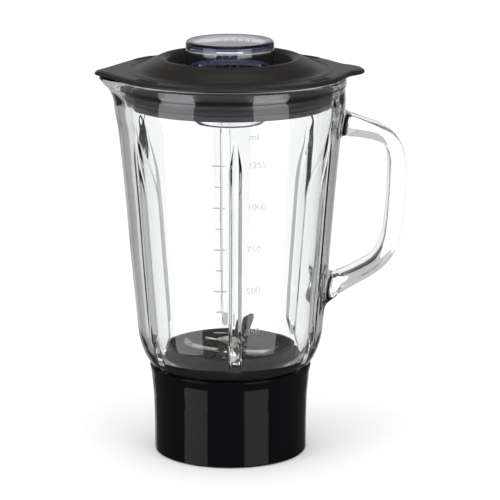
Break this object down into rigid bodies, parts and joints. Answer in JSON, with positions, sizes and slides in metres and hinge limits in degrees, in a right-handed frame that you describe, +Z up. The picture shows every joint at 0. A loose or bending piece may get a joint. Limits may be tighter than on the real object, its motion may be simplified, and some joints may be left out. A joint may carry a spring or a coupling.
{
  "type": "blender jug",
  "caption": "Ribbed glass blender jug with a solid handle and spout, flared black collar, lift-out blade unit, black lid with a lip seal and clear measuring cap.",
  "frame": {"origin": "centre of the collar's bottom face", "axes": "+Z up along the jug's axis, +X towards the handle, -X towards the spout"},
  "size_m": [0.1868, 0.142, 0.2523],
  "materials": {
    "pressed_glass": "clear pressed glass",
    "collar_gloss_black": "polished moulded ABS",
    "moulded_black": "satin moulded nylon",
    "lid_satin_black": "satin moulded polypropylene",
    "silicone": "translucent grey silicone",
    "black_silicone": "smooth black silicone",
    "black_rubber": "moulded nitrile",
    "clear_plastic": "clear moulded plastic, faint blue",
    "blade_steel": "stamped and polished stainless",
    "turned_steel": "turned stainless",
    "bush_bronze": "sintered bronze",
    "brass": "turned brass"
  },
  "bodies": {
    "base": {"collar": "collar_gloss_black"},
    "blade_unit": {"blade_carrier": "moulded_black", "bearing_housing": "turned_steel", "housing_seal": "silicone", "housing_nut": "turned_steel", "upper_bush": "bush_bronze", "lower_bush": "bush_bronze", "shaft_seal": "black_rubber"},
    "rotor": {"drive_shaft": "turned_steel", "thrust_washer": "turned_steel", "circlip": "turned_steel", "slinger_washer": "turned_steel", "lower_blade": "blade_steel", "blade_spacer": "turned_steel", "upper_blade": "blade_steel", "blade_head": "blade_steel", "drive_coupling": "moulded_black", "coupling_insert": "brass"},
    "gasket": {"jug_gasket": "silicone"},
    "jug": {"glass_jug": "pressed_glass"},
    "lid": {"lid": "lid_satin_black", "lid_seal": "black_silicone"},
    "cap": {"measuring_cap": "clear_plastic"}
  },
  "joints": [
    {"name": "blade_unit_lift", "type": "slide", "parent": "base", "child": "blade_unit", "axis": [0, 0, 1], "range_m": [0, 0.045]},
    {"name": "blade_spin", "type": "hinge", "parent": "blade_unit", "child": "rotor", "pos_m": [0, 0, 0.06], "axis": [0, 0, 1], "continuous": true},
    {"name": "jug_turn", "type": "hinge", "parent": "blade_unit", "child": "gasket", "pos_m": [0, 0, 0.034], "axis": [0, 0, 1], "range_deg": [0, 60]},
    {"name": "jug_lift", "type": "slide", "parent": "gasket", "child": "jug", "axis": [0, 0, 1], "range_m": [0, 0.06]},
    {"name": "lid_lift", "type": "slide", "parent": "jug", "child": "lid", "axis": [0, 0, 1], "range_m": [0, 0.034]},
    {"name": "cap_lift", "type": "slide", "parent": "lid", "child": "cap", "axis": [0, 0, 1], "range_m": [0, 0.05]}
  ]
}
